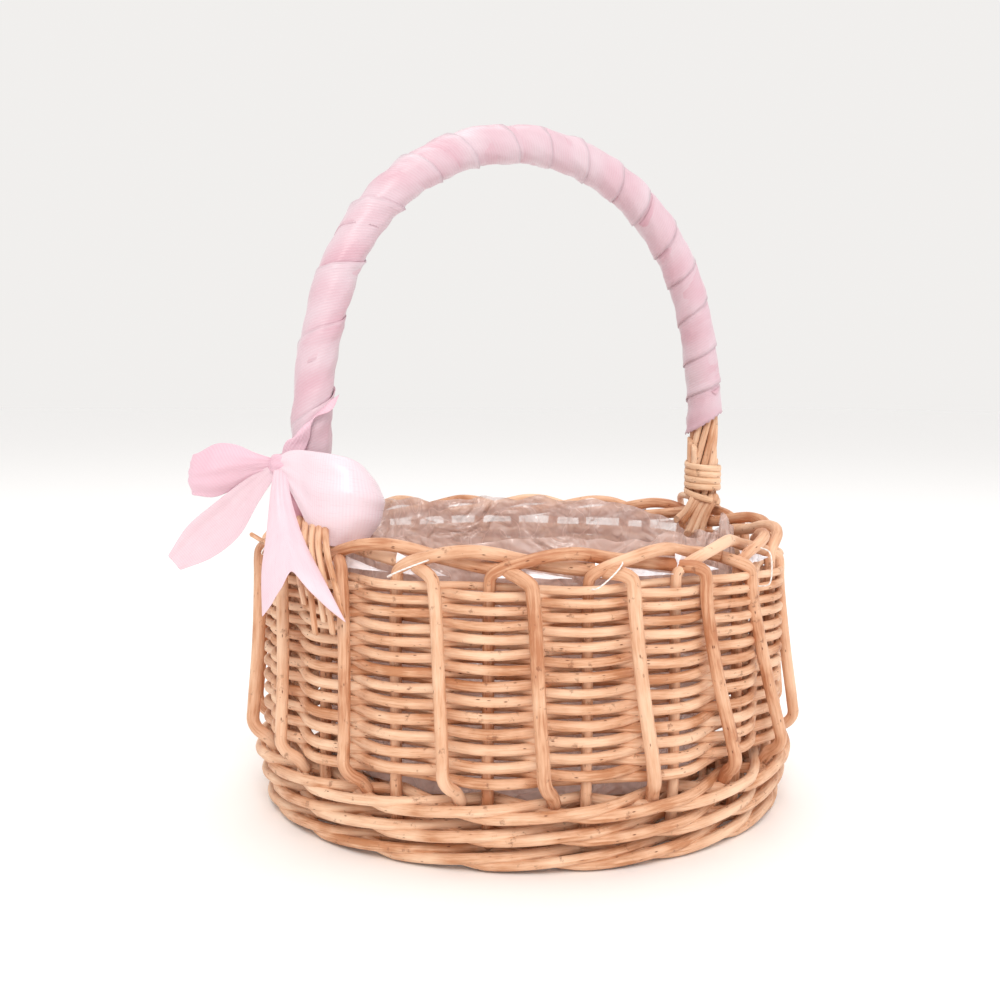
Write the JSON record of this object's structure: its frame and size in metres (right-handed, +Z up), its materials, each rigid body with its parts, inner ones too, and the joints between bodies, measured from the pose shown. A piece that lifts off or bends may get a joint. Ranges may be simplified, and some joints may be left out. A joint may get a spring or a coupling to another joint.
{
  "type": "easter basket",
  "caption": "Round woven willow basket with a rolled border, a ribbon-wrapped hoop handle, a tied ribbon bow and a clear film liner.",
  "frame": {"origin": "centre of the round base, on the floor it stands on", "axes": "+Z up; the handle stands in the XZ plane, with the bow on its -X foot"},
  "size_m": [0.2189, 0.1882, 0.2222],
  "materials": {
    "willow_stake": "satin",
    "willow_stick": "satin",
    "willow_weaver": "satin",
    "willow_skein": "satin",
    "satin_ribbon": "satin",
    "liner_film": "gloss",
    "sewing_thread": "matte"
  },
  "bodies": {
    "root": {"base_sticks": "willow_stick", "base_weave": "willow_weaver", "liner": "liner_film", "liner_thread": "sewing_thread", "handle_hoop": "willow_stick", "handle_rods": "willow_weaver", "binding_left": "willow_skein", "binding_right": "willow_skein", "ribbon_wrap": "satin_ribbon", "bow_knot": "satin_ribbon", "bow_loop_left": "satin_ribbon", "bow_loop_right": "satin_ribbon", "bow_tail_left": "satin_ribbon", "bow_tail_front": "satin_ribbon", "foot_round_1": "willow_stake", "foot_round_2": "willow_stake", "foot_round_3": "willow_stake", "wale_round_1": "willow_stake", "wale_round_2": "willow_stake", "wale_round_3": "willow_stake", "stake_01": "willow_stake", "stake_02": "willow_stake", "stake_03": "willow_stake", "stake_04": "willow_stake", "stake_05": "willow_stake", "stake_06": "willow_stake", "stake_07": "willow_stake", "stake_08": "willow_stake", "stake_09": "willow_stake", "stake_10": "willow_stake", "stake_11": "willow_stake", "stake_12": "willow_stake", "stake_13": "willow_stake", "stake_14": "willow_stake", "stake_15": "willow_stake", "stake_16": "willow_stake", "stake_17": "willow_stake", "stake_18": "willow_stake", "stake_19": "willow_stake", "side_weaver_01": "willow_weaver", "side_weaver_02": "willow_weaver", "side_weaver_03": "willow_weaver", "side_weaver_04": "willow_weaver", "side_weaver_05": "willow_weaver", "side_weaver_06": "willow_weaver", "side_weaver_07": "willow_weaver", "side_weaver_08": "willow_weaver", "side_weaver_09": "willow_weaver", "side_weaver_10": "willow_weaver", "side_weaver_11": "willow_weaver", "side_weaver_12": "willow_weaver", "side_weaver_13": "willow_weaver"}
  },
  "joints": []
}
